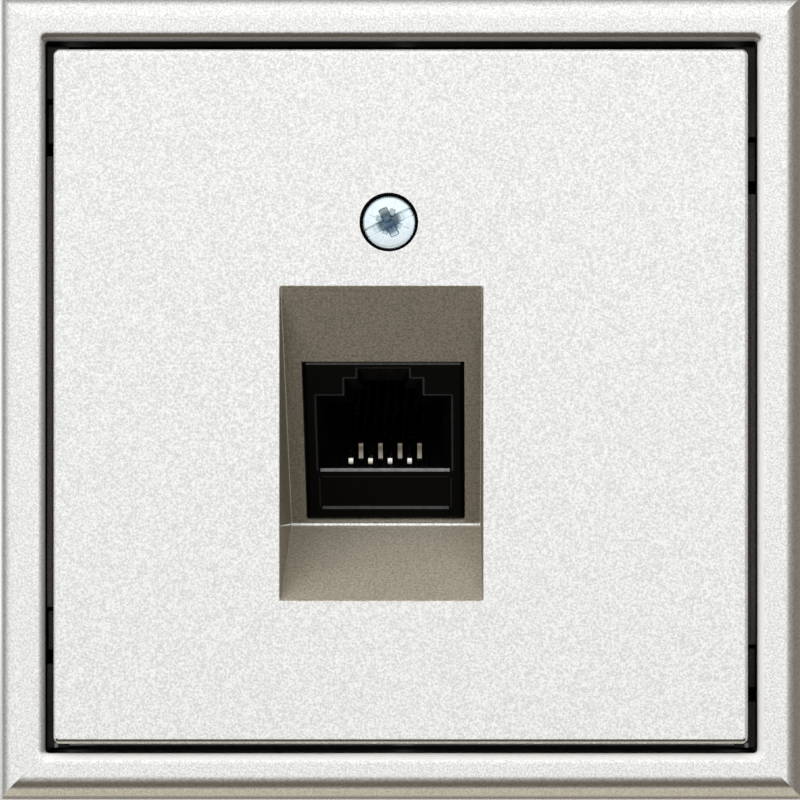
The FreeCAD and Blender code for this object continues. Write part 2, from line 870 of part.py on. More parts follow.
def wire_cap():
    rear = tower_rear - cap_clearance - cap_roof
    front = rear + cap_roof + cap_skirt
    half_width = cap_width / 2
    half_height = cap_height / 2
    body = slab(-half_width, half_width, -half_height, half_height, rear, front, cap_corner_round)
    pocket_half = tower_length / 2 + cap_clearance
    cuts = [slab(-cable_way / 2, cable_way / 2, cap_floor - half_height, half_height, rear, front)]
    pocket = slab(tower_inner - cap_clearance, tower_outer + cap_clearance, -pocket_half, pocket_half,
                  tower_rear - cap_clearance, front)
    cuts += [on_side(pocket, row) for row in (-1, 1)]
    wire = wire_slot_width / 2
    for row, height in blade_places():
        notch = slab(tower_outer, half_width, height - wire, height + wire, front - cap_notch_depth, front)
        cuts.append(on_side(notch, row))
    return single(on_slope(body.cut(cuts)))


def write(name, shape):
    """Stands the part up, so that z is up and the outlet faces along -y, and writes it."""
    standing = shape.copy()
    standing.rotate(V(0, 0, 0), V(1, 0, 0), 90)
    standing.exportStep(f"parts/{name}.step")


write("cover_frame", cover_frame())
write("base_frame", base_frame())
write("centre_plate", centre_plate())
write("plate_screw", plate_screw())
write("thread_insert", thread_insert())
write("support_ring", support_ring())
write("module_carrier", module_carrier())
write("carrier_screws", carrier_screws())
write("jack_housing", jack_housing())
write("contact_holder", contact_holder())
for contact in range(contact_count):
    write(f"contact_{contact + 1}", spring_contact(contact))
write("circuit_board", circuit_board())
write("terminal_block", terminal_block())
for number, (blade_row, blade_height) in enumerate(blade_places(), start=1):
    write(f"idc_blade_{number}", idc_blade(blade_row, blade_height))
write("wire_cap", wire_cap())
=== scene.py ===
import math

import bpy
import numpy as np
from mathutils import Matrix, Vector


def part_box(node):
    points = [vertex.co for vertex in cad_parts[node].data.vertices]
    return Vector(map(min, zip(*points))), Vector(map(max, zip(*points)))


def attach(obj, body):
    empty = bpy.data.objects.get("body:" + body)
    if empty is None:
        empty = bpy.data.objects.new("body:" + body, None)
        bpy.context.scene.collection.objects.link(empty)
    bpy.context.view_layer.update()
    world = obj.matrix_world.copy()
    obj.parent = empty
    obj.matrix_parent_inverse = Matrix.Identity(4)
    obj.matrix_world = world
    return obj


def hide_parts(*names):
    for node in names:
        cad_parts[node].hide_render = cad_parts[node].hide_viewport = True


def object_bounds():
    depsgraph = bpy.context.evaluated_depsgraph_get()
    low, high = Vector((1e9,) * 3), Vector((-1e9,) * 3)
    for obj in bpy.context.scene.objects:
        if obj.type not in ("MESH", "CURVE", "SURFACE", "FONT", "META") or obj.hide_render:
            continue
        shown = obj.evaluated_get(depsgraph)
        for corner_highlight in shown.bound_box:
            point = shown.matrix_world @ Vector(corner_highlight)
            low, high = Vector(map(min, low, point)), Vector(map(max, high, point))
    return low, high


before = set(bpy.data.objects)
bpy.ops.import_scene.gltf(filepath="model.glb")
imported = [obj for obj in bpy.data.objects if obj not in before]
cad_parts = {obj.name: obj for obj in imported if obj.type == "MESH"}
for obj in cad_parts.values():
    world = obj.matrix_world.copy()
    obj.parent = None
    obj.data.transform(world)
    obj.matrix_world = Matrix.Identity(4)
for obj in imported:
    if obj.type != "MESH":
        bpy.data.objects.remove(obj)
cad_low, cad_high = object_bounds()


# Support ring: a square of sheet steel with a round opening and curved slots for the box screws.
# It is punched, zinc-plated in a barrel and screwed to the wall box, so it carries all the rest.
noise_low = 0.3
noise_high = 0.7
sharp_angle = math.radians(32.0)
weld_gap = 2e-6


def finish(name, colour, roughness, metallic=0.0):
    """New material with one Principled shader; returns it with its node tree and shader."""
    material = bpy.data.materials.new(name)
    material.use_nodes = True
    tree = material.node_tree
    shader = tree.nodes["Principled BSDF"]
    shader.inputs["Base Color"].default_value = (*colour, 1.0)
    shader.inputs["Roughness"].default_value = roughness
    shader.inputs["Metallic"].default_value = metallic
    return material, tree, shader


def grain(tree, size, detail=2.0):
    """Noise on the piece's own coordinates: size is the width of a grain in metres."""
    place = tree.nodes.new("ShaderNodeTexCoord")
    noise = tree.nodes.new("ShaderNodeTexNoise")
    noise.inputs["Scale"].default_value = 1.0 / size
    noise.inputs["Detail"].default_value = detail
    tree.links.new(place.outputs["Object"], noise.inputs["Vector"])
    return noise.outputs["Fac"]


def tones(tree, fac, low, high, start, end):
    """Colour that goes evenly from low to high as the noise goes from start to end."""
    ramp = tree.nodes.new("ShaderNodeValToRGB")
    ramp.color_ramp.elements[0].position = start
    ramp.color_ramp.elements[0].color = (*low, 1.0)
    ramp.color_ramp.elements[1].position = end
    ramp.color_ramp.elements[1].color = (*high, 1.0)
    tree.links.new(fac, ramp.inputs["Fac"])
    return ramp.outputs["Color"]


def shades(tree, shader, fac, low, high):
    """Base colour that goes from low to high with the noise."""
    colour = tones(tree, fac, low, high, noise_low, noise_high)
    tree.links.new(colour, shader.inputs["Base Color"])


def gloss(tree, shader, fac, low, high):
    """Roughness that goes evenly from low to high with the noise."""
    span = tree.nodes.new("ShaderNodeMapRange")
    span.inputs["From Min"].default_value = noise_low
    span.inputs["From Max"].default_value = noise_high
    span.inputs["To Min"].default_value = low
    span.inputs["To Max"].default_value = high
    tree.links.new(fac, span.inputs["Value"])
    tree.links.new(span.outputs["Result"], shader.inputs["Roughness"])


def smooth_group(name, keep_sharp=None):
    """Geometry nodes that shade a CAD mesh smooth, apart from edges over the sharp angle.

    keep_sharp, if given, adds nodes that turn the value for soft edges off where it wants to.
    """
    group = bpy.data.node_groups.new(name, "GeometryNodeTree")
    group.interface.new_socket("Geometry", in_out="INPUT", socket_type="NodeSocketGeometry")
    group.interface.new_socket("Geometry", in_out="OUTPUT", socket_type="NodeSocketGeometry")
    start = group.nodes.new("NodeGroupInput")
    end = group.nodes.new("NodeGroupOutput")
    plain = group.nodes.new("GeometryNodeRemoveAttribute")
    plain.inputs["Name"].default_value = "custom_normal"
    faces = group.nodes.new("GeometryNodeSetShadeSmooth")
    faces.domain = "FACE"
    edges = group.nodes.new("GeometryNodeSetShadeSmooth")
    edges.domain = "EDGE"
    angle = group.nodes.new("GeometryNodeInputMeshEdgeAngle")
    small = group.nodes.new("FunctionNodeCompare")
    small.operation = "LESS_THAN"
    small.inputs["B"].default_value = sharp_angle
    group.links.new(start.outputs[0], plain.inputs["Geometry"])
    group.links.new(plain.outputs["Geometry"], faces.inputs["Geometry"])
    group.links.new(faces.outputs["Geometry"], edges.inputs["Geometry"])
    group.links.new(angle.outputs["Unsigned Angle"], small.inputs["A"])
    soft = small.outputs["Result"]
    if keep_sharp is not None:
        soft = keep_sharp(group, soft)
    group.links.new(soft, edges.inputs["Shade Smooth"])
    group.links.new(edges.outputs["Geometry"], end.inputs[0])
    return group


smooth_shading = smooth_group("smooth_shading")


def dress(node, material, edge=0.0, shading=smooth_shading):
    """Gives a CAD node its material, welds its triangles, rounds its edges and shades it smooth."""
    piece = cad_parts[node]
    for place in piece.material_slots:
        place.link = "OBJECT"
        place.material = material
    weld = piece.modifiers.new("weld", "WELD")
    weld.merge_threshold = weld_gap
    if edge > 0:
        round_off = piece.modifiers.new("edge", "BEVEL")
        round_off.width = edge
        round_off.segments = 2
        round_off.limit_method = "ANGLE"
        round_off.angle_limit = sharp_angle
        round_off.use_clamp_overlap = True
    shade = piece.modifiers.new("shade", "NODES")
    shade.node_group = shading
    weigh = piece.modifiers.new("normals", "WEIGHTED_NORMAL")
    weigh.keep_sharp = True


ring_zinc, ring_tree, ring_shader = finish("ring_zinc", (0.62, 0.62, 0.60), roughness=0.38, metallic=1.0)
ring_grain = grain(ring_tree, size=0.0011, detail=4.0)
shades(ring_tree, ring_shader, ring_grain, low=(0.50, 0.50, 0.48), high=(0.70, 0.70, 0.67))
gloss(ring_tree, ring_shader, ring_grain, low=0.28, high=0.46)
dress("support_ring", ring_zinc)


# Module carrier: a glass-filled moulding on the ring with a slanted seat for the jack module.
# Its boss holds a turned brass thread, and small zinc-plated screws hold it to the ring.

def relief(tree, shader, fac, depth):
    """Bump of the given depth in metres from the noise."""
    bump = tree.nodes.new("ShaderNodeBump")
    bump.inputs["Strength"].default_value = 1.0
    bump.inputs["Distance"].default_value = depth
    tree.links.new(fac, bump.inputs["Height"])
    tree.links.new(bump.outputs["Normal"], shader.inputs["Normal"])


carrier_grey, carrier_tree, carrier_shader = finish("carrier_grey", (0.20, 0.20, 0.21), roughness=0.5)
carrier_grain = grain(carrier_tree, size=0.00035, detail=3.0)
shades(carrier_tree, carrier_shader, carrier_grain, low=(0.17, 0.17, 0.18), high=(0.23, 0.23, 0.24))
relief(carrier_tree, carrier_shader, carrier_grain, depth=0.00002)
dress("module_carrier", carrier_grey, edge=0.0001)

insert_brass, insert_tree, insert_shader = finish(
    "insert_brass", (0.80, 0.60, 0.28), roughness=0.3, metallic=1.0)
gloss(insert_tree, insert_shader, grain(insert_tree, size=0.0004), low=0.22, high=0.4)
dress("thread_insert", insert_brass)

screw_zinc, zinc_tree, zinc_shader = finish(
    "screw_zinc", (0.72, 0.75, 0.80), roughness=0.28, metallic=1.0)
zinc_grain = grain(zinc_tree, size=0.0005, detail=3.0)
shades(zinc_tree, zinc_shader, zinc_grain, low=(0.66, 0.71, 0.78), high=(0.82, 0.86, 0.90))
gloss(zinc_tree, zinc_shader, zinc_grain, low=0.2, high=0.36)
dress("carrier_screws", screw_zinc)


# Jack module: gilt spring contacts in an insulator, a small board behind them, a block with forked
# tinned blades, and a cap that presses the wires in. All of it snaps together in the black housing,
# whose front edges carry pale lines: partly plug wear and partly painted highlight at the mouth's lower
# lip, and painted highlights on the other edges. The contacts carry painted shade where they rise, run
# back into the jack and end.
jack_tilt = math.radians(29.0)
jack_middle = Vector((-0.00193, -0.001322, -0.004556))
jack_up = Vector((0.0, -math.sin(jack_tilt), math.cos(jack_tilt)))
jack_out = Vector((0.0, -math.cos(jack_tilt), -math.sin(jack_tilt)))
jack_ink = (0.002, 0.002, 0.002)
# Depth of the housing's front, from the jack's middle outwards, at which the pale lines of wear and
# painted highlight set in.
jack_skin = (-0.0007, -0.0006)
highlight_soft = 0.00006
# Each line: its distance from the middle and half width, its height and half height, its paleness.
# Pale lines on the housing's front edges: painted edge highlights, with plug wear as well at the mouth's
# lower lip.
wear_and_highlight_lines = (
    ((0.0, 0.0067), (-0.00337, 0.00013), 1.0), ((0.00702, 0.00007), (0.00101, 0.00440), 0.11),
    ((0.00556, 0.00146), (0.0054, 0.00007), 0.13), ((0.0041, 0.00007), (0.00639, 0.00099), 0.13),
    ((0.00341, 0.00069), (0.00738, 0.00007), 0.13), ((0.00272, 0.00007), (0.00795, 0.00057), 0.13),
    ((0.0, 0.00272), (0.00852, 0.00006), 0.06), ((0.0, 0.0066), (-0.0079, 0.00008), 0.32),
    ((0.0, 0.0066), (-0.0042, 0.00006), 0.06), ((0.00685, 0.00005), (-0.00605, 0.0018), 0.05),
    ((0.0, 0.0079), (0.0093, 0.00035), 0.4),
)
flake_start = 0.34
flake_end = 0.66
# Painted shade on the gilt contacts: where they rise, where they run back into the jack, and at their
# tips.
contact_shade_rise = (-0.0031, -0.0017)
contact_shade_levels = (0.25, 0.92)
contact_shade_depth = (-0.0020, -0.0015)
contact_tip_shade = (-0.0015, -0.0012)
contact_numbers = range(1, 9)


def step(tree, value, low, high, first=0.0, last=1.0):
    """Eased from first to last while the value goes from low to high."""
    span = tree.nodes.new("ShaderNodeMapRange")
    span.interpolation_type = "SMOOTHSTEP"
    span.inputs["From Min"].default_value = low
    span.inputs["From Max"].default_value = high
    span.inputs["To Min"].default_value = first
    span.inputs["To Max"].default_value = last
    tree.links.new(value, span.inputs["Value"])
    return span.outputs["Result"]


def fall(tree, value, low, high):
    """1 while the value is below low, and eased to 0 at high."""
    return step(tree, value, low, high, 1.0, 0.0)


def join(tree, operation, first, second=None):
    """One sum on one or two values of a node tree; a plain number stays on the socket."""
    sum_node = tree.nodes.new("ShaderNodeMath")
    sum_node.operation = operation
    tree.links.new(first, sum_node.inputs[0])
    if isinstance(second, float):
        sum_node.inputs[1].default_value = second
    elif second is not None:
        tree.links.new(second, sum_node.inputs[1])
    return sum_node.outputs[0]


def both(tree, first, *others):
    """Product of all the values, so 1 only where each of them is 1."""
    for other in others:
        first = join(tree, "MULTIPLY", first, other)
    return first


def either(tree, first, *others):
    """Greatest of all the values."""
    for other in others:
        first = join(tree, "MAXIMUM", first, other)
    return first


def away(tree, value, middle):
    """How far the value is from the middle, to either side."""
    return join(tree, "ABSOLUTE", join(tree, "SUBTRACT", value, middle))


def band(tree, value, middle, half, soft):
    """1 within half of the middle, and 0 beyond that and a soft margin."""
    return fall(tree, away(tree, value, middle), half, half + soft)


def axes(tree):
    """The piece's own x, y and z in metres, and how far its surface looks right, back and up."""
    place = tree.nodes.new("ShaderNodeTexCoord")
    split = tree.nodes.new("ShaderNodeSeparateXYZ")
    facing = tree.nodes.new("ShaderNodeSeparateXYZ")
    tree.links.new(place.outputs["Object"], split.inputs[0])
    tree.links.new(place.outputs["Normal"], facing.inputs[0])
    return *split.outputs, *facing.outputs


def along(tree, direction):
    """How far, in metres, a point of the piece lies along a direction from the jack's middle."""
    place = tree.nodes.new("ShaderNodeTexCoord")
    dot = tree.nodes.new("ShaderNodeVectorMath")
    dot.operation = "DOT_PRODUCT"
    dot.inputs[1].default_value = direction
    tree.links.new(place.outputs["Object"], dot.inputs[0])
    return join(tree, "SUBTRACT", dot.outputs["Value"], jack_middle.dot(direction))


def layer(tree, over, under, amount):
    """Colour that goes from under to over with the amount; both may be plain colours."""
    mix = tree.nodes.new("ShaderNodeMix")
    mix.data_type = "RGBA"
    tree.links.new(amount, mix.inputs["Factor"])
    for socket, colour in (("A", under), ("B", over)):
        if isinstance(colour, tuple):
            mix.inputs[socket].default_value = (*colour, 1.0)
        else:
            tree.links.new(colour, mix.inputs[socket])
    return mix.outputs["Result"]


def flakes(tree, fac, deep, pale):
    """Colour of a coat from its deep to its pale flakes."""
    return tones(tree, fac, deep, pale, flake_start, flake_end)


jack_black, jack_tree, jack_shader = finish("jack_black", jack_ink, roughness=0.3)
jack_shader.inputs["Specular IOR Level"].default_value = 0.06
jack_side = away(jack_tree, axes(jack_tree)[0], jack_middle.x)
jack_height = along(jack_tree, jack_up)
# Painted highlights along the housing's front edges, with plug wear as well at the mouth's lower lip.
wear_and_highlights = []
for (side, half_side), (height, half_height), paleness in wear_and_highlight_lines:
    wear_and_highlights.append(both(jack_tree, band(jack_tree, jack_side, side, half_side, highlight_soft),
                       band(jack_tree, jack_height, height, half_height, highlight_soft), paleness))
worn_and_lit = both(jack_tree, either(jack_tree, *wear_and_highlights),
               step(jack_tree, along(jack_tree, jack_out), *jack_skin))
jack_grain = grain(jack_tree, size=0.0006, detail=3.0)
jack_wear_and_highlight = flakes(jack_tree, jack_grain, deep=(0.26, 0.26, 0.27), pale=(0.36, 0.36, 0.37))
jack_tree.links.new(layer(jack_tree, jack_wear_and_highlight, jack_ink, worn_and_lit), jack_shader.inputs["Base Color"])
gloss(jack_tree, jack_shader, jack_grain, low=0.26, high=0.4)
relief(jack_tree, jack_shader, jack_grain, depth=0.000008)
dress("jack_housing", jack_black, edge=0.00012)
dress("contact_holder", jack_black, edge=0.00005)

contact_gilt, gilt_tree, gilt_shader = finish(
    "contact_gilt", (0.82, 0.79, 0.72), roughness=0.2, metallic=1.0)
gilt_grain = grain(gilt_tree, size=0.0003)
gilt_height = along(gilt_tree, jack_up)
# Painted shade, not tarnish: the gilt darkens up and back in the jack and at the contacts' tips.
gilt_shaded = both(gilt_tree, step(gilt_tree, gilt_height, *contact_shade_rise, *contact_shade_levels),
                 fall(gilt_tree, along(gilt_tree, jack_out), *contact_shade_depth))
gilt_shaded = either(gilt_tree, gilt_shaded, step(gilt_tree, gilt_height, *contact_tip_shade))
gilt_bright = flakes(gilt_tree, gilt_grain, deep=(0.78, 0.75, 0.68), pale=(0.86, 0.83, 0.76))
gilt_shade = flakes(gilt_tree, gilt_grain, deep=(0.10, 0.08, 0.05), pale=(0.15, 0.12, 0.08))
gilt_colour = layer(gilt_tree, gilt_shade, gilt_bright, gilt_shaded)
gilt_tree.links.new(gilt_colour, gilt_shader.inputs["Base Color"])
gloss(gilt_tree, gilt_shader, gilt_grain, low=0.14, high=0.28)
for number in contact_numbers:
    dress(f"contact_{number}", contact_gilt)

board_green, board_tree, board_shader = finish("board_green", (0.02, 0.15, 0.07), roughness=0.35)
shades(board_tree, board_shader, grain(board_tree, size=0.0005),
       low=(0.015, 0.12, 0.055), high=(0.03, 0.18, 0.085))
dress("circuit_board", board_green)

terminal_white, terminal_tree, terminal_shader = finish(
    "terminal_white", (0.80, 0.80, 0.77), roughness=0.42)
terminal_grain = grain(terminal_tree, size=0.0006)
shades(terminal_tree, terminal_shader, terminal_grain, low=(0.76, 0.76, 0.72), high=(0.83, 0.83, 0.80))
relief(terminal_tree, terminal_shader, terminal_grain, depth=0.00001)
dress("terminal_block", terminal_white, edge=0.0001)
dress("wire_cap", terminal_white, edge=0.00015)

blade_tin, tin_tree, tin_shader = finish("blade_tin", (0.74, 0.73, 0.70), roughness=0.3, metallic=1.0)
gloss(tin_tree, tin_shader, grain(tin_tree, size=0.0003), low=0.22, high=0.4)
for number in contact_numbers:
    dress(f"idc_blade_{number}", blade_tin)


# Base frame: the black under-frame between ring and cover, injection moulded with a spark texture.
# Its side ledges and snap clips show in the gap beside the plate. The ledges are lighter grey as painted
# light, fading to painted shade towards their ends, with a painted shade line along each and a painted
# glint at each lower end; the rest of the frame is darkened as painted shade.
# Each pair is where a tone starts and ends: a distance from the middle or a depth y.
# Painted light on the ledges, eased to painted shade towards their ends, with a painted shade line along
# each.
ledge_side = (0.0335, 0.0338)
ledge_front = (-0.0058, -0.0052)
ledge_shade_ends = (0.018, 0.033)
ledge_end_shade = 0.1
line_side, line_half, line_soft = 0.03545, 0.00005, 0.00005
line_depth = 0.6
# A painted glint at the lower end of each ledge.
glint_side, glint_half_width, glint_side_soft = 0.03508, 0.00012, 0.0001
glint_z, glint_half_height, glint_soft = -0.0354, 0.00022, 0.00008
glint_front = (-0.0066, -0.0062)
base_black, base_tree, base_shader = finish("base_black", (0.02, 0.019, 0.018), roughness=0.5)
base_shader.inputs["Specular IOR Level"].default_value = 0.12
base_grain = grain(base_tree, size=0.00018)
base_x, base_y, base_z, *_ = axes(base_tree)
base_side = join(base_tree, "ABSOLUTE", base_x)
# Ledges paler as painted light, falling to painted shade towards their ends; a painted shade line runs
# along each.
ledge_light = both(base_tree, step(base_tree, base_side, *ledge_side),
                  fall(base_tree, base_y, *ledge_front),
                  step(base_tree, join(base_tree, "ABSOLUTE", base_z), *ledge_shade_ends, 1.0, ledge_end_shade))
ledge_shade_line = both(base_tree, band(base_tree, base_side, line_side, line_half, line_soft), line_depth)
ledge_light = join(base_tree, "SUBTRACT", ledge_light, both(base_tree, ledge_light, ledge_shade_line))
# Painted glint at each ledge's lower end.
base_glint = both(base_tree, band(base_tree, base_side, glint_side, glint_half_width, glint_side_soft),
                 band(base_tree, base_z, glint_z, glint_half_height, glint_soft),
                 fall(base_tree, base_y, *glint_front))
base_shade = flakes(base_tree, base_grain, deep=(0.005, 0.0048, 0.0046), pale=(0.011, 0.0105, 0.01))
ledge_lit_grey = flakes(base_tree, base_grain, deep=(0.045, 0.040, 0.037), pale=(0.095, 0.086, 0.081))
glint_pale = flakes(base_tree, base_grain, deep=(0.22, 0.21, 0.20), pale=(0.32, 0.31, 0.30))
base_colour = layer(base_tree, ledge_lit_grey, base_shade, ledge_light)
base_colour = layer(base_tree, glint_pale, base_colour, base_glint)
base_tree.links.new(base_colour, base_shader.inputs["Base Color"])
relief(base_tree, base_shader, base_grain, depth=0.00002)
dress("base_frame", base_black, edge=0.0001)


# Cover frame: a hollow square moulding that snaps onto the base frame. It is sprayed from the front
# with a pale aluminium lacquer, which leaves the inside bare. Painted highlight makes the window's
# lower and right lip paler; painted shade darkens its upper and left lip, the lower and right outer edge
# and the window's inner wall.
lacquer_pale = (0.97, 0.97, 0.96)
lacquer_deep = (0.69, 0.69, 0.68)
lacquer_roughness = 0.24
moulding_grey = (0.014, 0.0137, 0.0133)
# Painted shade: the window's inner wall is darker than the bare moulding.
wall_shade_black = (0.003, 0.003, 0.003)
moulding_roughness = 0.55
moulding_shine = 0.03
flake_width = 0.00021
flake_relief = 0.00001
# Painted shade on the lower and right outer edge.
edge_shade_pale = (0.345, 0.315, 0.265)
edge_shade_deep = (0.245, 0.225, 0.19)
# Painted shade on the window's upper and left lip, the lower outer edge's foot and the plate's lower
# round.
lip_shade_pale = (0.19, 0.174, 0.144)
lip_shade_deep = (0.135, 0.124, 0.103)
# Each pair is where a tone starts and ends: a reach from the middle, a depth y, or how far a face turns.
wall_shade_reach = (0.0363, 0.0366)
lip_reach = (0.0370, 0.0372)
edge_reach = (0.0380, 0.0382)
skin_reach = (0.0392, 0.0395)
coat_depth = (-0.0080, -0.0074)
coat_turn = (0.2, 0.4)
lip_depth = (-0.00897, -0.00886)
lip_shift_turn = (0.1, 0.3)
lip_shift = 0.0001
# Painted highlight on the window's lower and right lip sets in at these turns.
highlight_up = (0.15, 0.5)
highlight_left = (-0.5, -0.15)
# Painted shade on the window's upper and left lip sets in at these turns and depths.
shade_down = (-0.45, -0.2)
shade_depth = (-0.00876, -0.0086)
shade_rest = 0.65
shade_right = (0.55, 0.85)
shade_right_amount = 0.55
# Painted shade on the foot of the lower outer edge.
foot_down = (-0.98, -0.84)
foot_depth = (-0.0066, -0.0062)
# Painted shade on the lower and right outer edge sets in at these turns, eased back on the flat right
# side.
under_down = (-0.36, -0.06)
under_end = (-0.62, -0.43)
far_right = (0.26, 0.48)
far_amount = 0.77
far_end = (0.88, 0.995)
far_rest = 0.45
mitre_half = 0.00005


def reach(tree, across, height):
    """How far out a point lies on the square: the greater of |x| and |z|."""
    return either(tree, join(tree, "ABSOLUTE", across), join(tree, "ABSOLUTE", height))


def sharp_mitres(group, soft):
    """The value for soft edges, but 0 on the diagonals |x| = |z| from the outer edge's start outwards."""
    place = group.nodes.new("GeometryNodeInputPosition")
    split = group.nodes.new("ShaderNodeSeparateXYZ")
    group.links.new(place.outputs["Position"], split.inputs[0])
    across = join(group, "ABSOLUTE", split.outputs["X"])
    height = join(group, "ABSOLUTE", split.outputs["Z"])
    gap = join(group, "ABSOLUTE", join(group, "SUBTRACT", across, height))
    off = join(group, "GREATER_THAN", gap, mitre_half)
    inside = join(group, "LESS_THAN", across, edge_reach[0])
    return both(group, either(group, off, inside), soft)


frame_lacquer, frame_tree, frame_shader = finish(
    "frame_lacquer", lacquer_pale, roughness=lacquer_roughness, metallic=1.0)
frame_shader.inputs["Specular IOR Level"].default_value = moulding_shine
frame_x, frame_y, frame_z, frame_right, frame_back, frame_up = axes(frame_tree)
frame_reach = reach(frame_tree, frame_x, frame_z)
frame_inner = fall(frame_tree, frame_reach, *lip_reach)
frame_outer = step(frame_tree, frame_reach, *edge_reach)
frame_coat = either(frame_tree, step(frame_tree, frame_reach, *skin_reach),
                    fall(frame_tree, frame_y, *coat_depth))
frame_coat = both(frame_tree, frame_coat, fall(frame_tree, frame_back, *coat_turn))
frame_depth = join(frame_tree, "SUBTRACT", frame_y,
                   step(frame_tree, frame_right, *lip_shift_turn, 0.0, lip_shift))
frame_lip = both(frame_tree, frame_inner, step(frame_tree, frame_depth, *lip_depth))
# Painted highlight: the lower and right lip take the pale lacquer without flakes.
frame_lip_highlight = either(frame_tree, step(frame_tree, frame_up, *highlight_up),
                     fall(frame_tree, frame_right, *highlight_left))
frame_lip_highlight = both(frame_tree, frame_lip_highlight, frame_lip)
# Painted shade on the upper and left lip, and on the foot of the lower outer edge.
frame_painted_shade = both(frame_tree, fall(frame_tree, frame_up, *shade_down),
                  step(frame_tree, frame_y, *shade_depth, 1.0, shade_rest))
frame_painted_shade = either(frame_tree, frame_painted_shade,
                    step(frame_tree, frame_right, *shade_right, 0.0, shade_right_amount))
frame_painted_shade = both(frame_tree, frame_painted_shade, frame_inner)
frame_foot_shade = both(frame_tree, fall(frame_tree, frame_up, *foot_down),
                  fall(frame_tree, frame_y, *foot_depth), frame_outer)
frame_painted_shade = either(frame_tree, frame_painted_shade, frame_foot_shade)
# Painted shade on the lower outer edge and the right outer edge, eased back on the flat right side.
frame_under_shade = both(frame_tree, fall(frame_tree, frame_up, *under_down),
                   step(frame_tree, frame_up, *under_end))
frame_far_shade = both(frame_tree, step(frame_tree, frame_right, *far_right, 0.0, far_amount),
                 step(frame_tree, frame_right, *far_end, 1.0, far_rest))
frame_under_shade = both(frame_tree, either(frame_tree, frame_under_shade, frame_far_shade), frame_outer)
frame_flake = grain(frame_tree, flake_width)
frame_sheen = layer(frame_tree, flakes(frame_tree, frame_flake, edge_shade_deep, edge_shade_pale),
                    flakes(frame_tree, frame_flake, lacquer_deep, lacquer_pale), frame_under_shade)
frame_sheen = layer(frame_tree, lacquer_pale, frame_sheen, frame_lip_highlight)
frame_sheen = layer(frame_tree, flakes(frame_tree, frame_flake, lip_shade_deep, lip_shade_pale),
                    frame_sheen, frame_painted_shade)
# Bare moulding, with painted shade on the window's inner wall.
frame_bare_and_shade = layer(frame_tree, moulding_grey, wall_shade_black, step(frame_tree, frame_reach, *wall_shade_reach))
frame_colour = layer(frame_tree, frame_sheen, frame_bare_and_shade, frame_coat)
frame_tree.links.new(frame_colour, frame_shader.inputs["Base Color"])
frame_metal = both(frame_tree, frame_coat, fall(frame_tree, frame_lip, 0.0, 1.0))
frame_tree.links.new(frame_metal, frame_shader.inputs["Metallic"])
frame_gloss = step(frame_tree, frame_metal, 0.0, 1.0, moulding_roughness, lacquer_roughness)
frame_tree.links.new(frame_gloss, frame_shader.inputs["Roughness"])
relief(frame_tree, frame_shader, frame_flake, flake_relief)
dress("cover_frame", frame_lacquer, shading=smooth_group("mitred_shading", sharp_mitres))


# Centre plate: the square moulding with the slanted pocket for the plug, held by one screw. It has the
# frame's lacquer on its face, with painted shade on a line of its lower round, and a dull coat of it in
# the pocket, darkened by painted shade, paler as painted light where faces look up and on the side walls
# below the fold, with painted highlights along the folds. The coat fades out down its sides, and its
# back is bare.
# Lit and shaded copies of the pocket's coat: the first pair, for faces that look up, is painted light;
# the shade pair, for faces that look down, is painted shade.
pocket_lit_pale = (0.60, 0.545, 0.447)
pocket_lit_deep = (0.355, 0.33, 0.267)
shade_pale = (0.365, 0.33, 0.262)
shade_deep = (0.215, 0.196, 0.155)
pocket_metal = 0.3
pocket_roughness = 0.6
pocket_middle_x = -0.00193
pocket_middle_z = -0.004725
pocket_half_width = 0.01022
pocket_half_height = 0.01583
pocket_soft = 0.0001
pocket_draft = math.radians(1.0)
pocket_slopes = (-0.3, 0.6)
side_turn = (0.85, 0.95)
seam_z = -0.01305
# Painted highlights along the pocket's fold and side corners lie within these bands.
seam_half, seam_soft = 0.00006, 0.00012
seam_floor = (0.0026, 0.0029)
seam_end_half, seam_end_soft = 0.00004, 0.00008
seam_end_amount = 0.75
seam_foot = 0.0002
corner_off, corner_half, corner_soft = 0.00009, 0.00004, 0.00002
corner_highlight_amount = 0.4
face_depth = 0.010
# Each pair is where a tone starts and ends: a reach from the middle, a depth y, or how far a face turns.
face_coat = (-0.0094, -0.0086)
round_reach = (0.0347, 0.0349)
round_depth = (-0.0098, -0.0096)
round_right = (0.42, 0.62)
round_metal = 0.3
side_coat = (-0.0080, -0.0070)
# Painted shade on a line of the plate's lower round.
under_start = (0.03446, 0.03456)
under_stop = (0.03468, 0.03478)
under_turn = (-0.12, -0.04)
plate_lacquer, plate_tree, plate_shader = finish(
    "plate_lacquer", lacquer_pale, roughness=lacquer_roughness, metallic=1.0)
plate_shader.inputs["Specular IOR Level"].default_value = moulding_shine
plate_x, plate_y, plate_z, plate_right, plate_back, plate_up = axes(plate_tree)
plate_reach = reach(plate_tree, plate_x, plate_z)
pocket_side = away(plate_tree, plate_x, pocket_middle_x)
pocket_rise = away(plate_tree, plate_z, pocket_middle_z)
pocket = both(plate_tree,
              fall(plate_tree, pocket_side, pocket_half_width, pocket_half_width + pocket_soft),
              fall(plate_tree, pocket_rise, pocket_half_height, pocket_half_height + pocket_soft))
